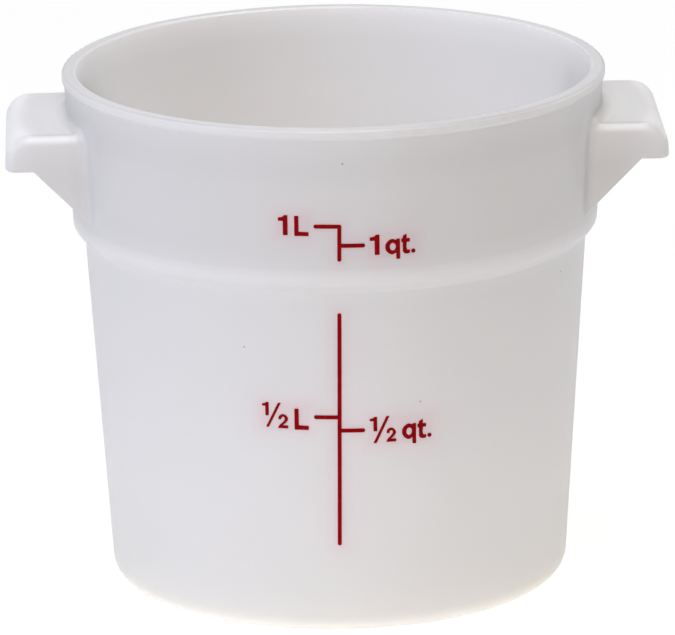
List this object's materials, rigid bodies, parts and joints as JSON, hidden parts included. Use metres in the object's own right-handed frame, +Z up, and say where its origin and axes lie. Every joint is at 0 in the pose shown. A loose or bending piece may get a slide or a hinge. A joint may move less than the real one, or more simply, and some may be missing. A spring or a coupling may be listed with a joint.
{
  "type": "dough proofing container",
  "caption": "Round translucent food container for proofing dough, with two hollow side handles, a lid rim, a stepped stacking shoulder and a printed capacity scale.",
  "frame": {"origin": "middle of the foot ring's underside, on the container's own axis", "axes": "+Z up along the container's axis to the mouth, +X through the right handle, -Y towards the side that carries the printed scale"},
  "size_m": [0.1576, 0.13, 0.1255],
  "materials": {
    "translucent_plastic": "satin translucent white polyethylene, as moulded",
    "red_ink": "dark red printing ink"
  },
  "bodies": {
    "root": {"container_shell": "translucent_plastic", "left_handle": "translucent_plastic", "right_handle": "translucent_plastic", "upper_scale_print": "red_ink", "lower_scale_print": "red_ink"}
  },
  "joints": []
}
